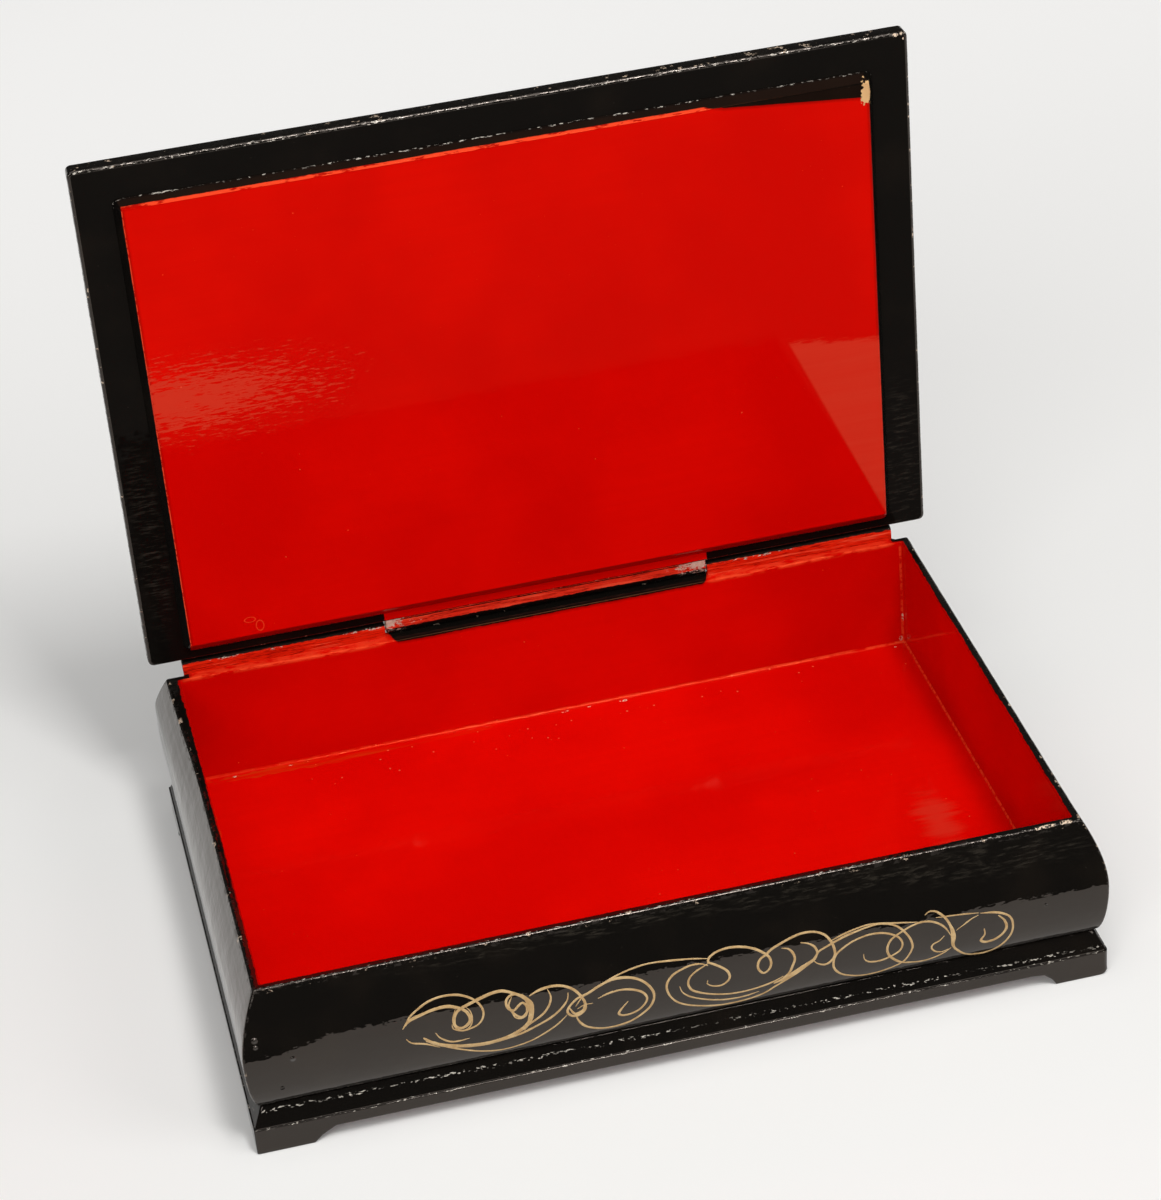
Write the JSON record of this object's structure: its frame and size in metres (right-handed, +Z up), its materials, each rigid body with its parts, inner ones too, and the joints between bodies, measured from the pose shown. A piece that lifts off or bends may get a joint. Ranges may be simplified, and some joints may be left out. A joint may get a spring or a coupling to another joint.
{
  "type": "hinged lacquer box",
  "caption": "Rectangular wooden box with bulged mitred walls, a low plinth with bracket feet and a hinged lid with a raised inner panel, lacquered black outside and red inside.",
  "frame": {"origin": "on the surface the feet stand on, under the middle of the tray", "axes": "+X along the length, to the right seen from the front; -Y is the front; +Z is up. The rest pose has the lid open, 1.2 degrees past upright."},
  "size_m": [0.1932, 0.1365, 0.1734],
  "materials": {
    "black_lacquer": "thick glossy black lacquer over wood, gold scroll on the front",
    "red_lacquer": "thick glossy red lacquer over wood",
    "hinge_paint": "rolled sheet metal, painted over, worn bright at the ends",
    "hinge_wire": "plain steel wire"
  },
  "bodies": {
    "box": {"front_wall": "black_lacquer", "back_wall": "black_lacquer", "left_wall": "black_lacquer", "right_wall": "black_lacquer", "plinth_front": "black_lacquer", "plinth_back": "black_lacquer", "plinth_left": "black_lacquer", "plinth_right": "black_lacquer", "floor_board": "red_lacquer", "hinge_leaf_left": "hinge_paint", "hinge_leaf_right": "hinge_paint", "hinge_pin": "hinge_wire"},
    "lid": {"lid_plate": "black_lacquer", "lid_panel": "red_lacquer", "hinge_leaf_lid": "hinge_paint"}
  },
  "joints": [
    {"name": "lid_hinge", "type": "hinge", "parent": "box", "child": "lid", "pos_m": [0, 0.0639, 0.0422], "axis": [-1, 0, 0], "range_deg": [-91.2, 0]}
  ]
}
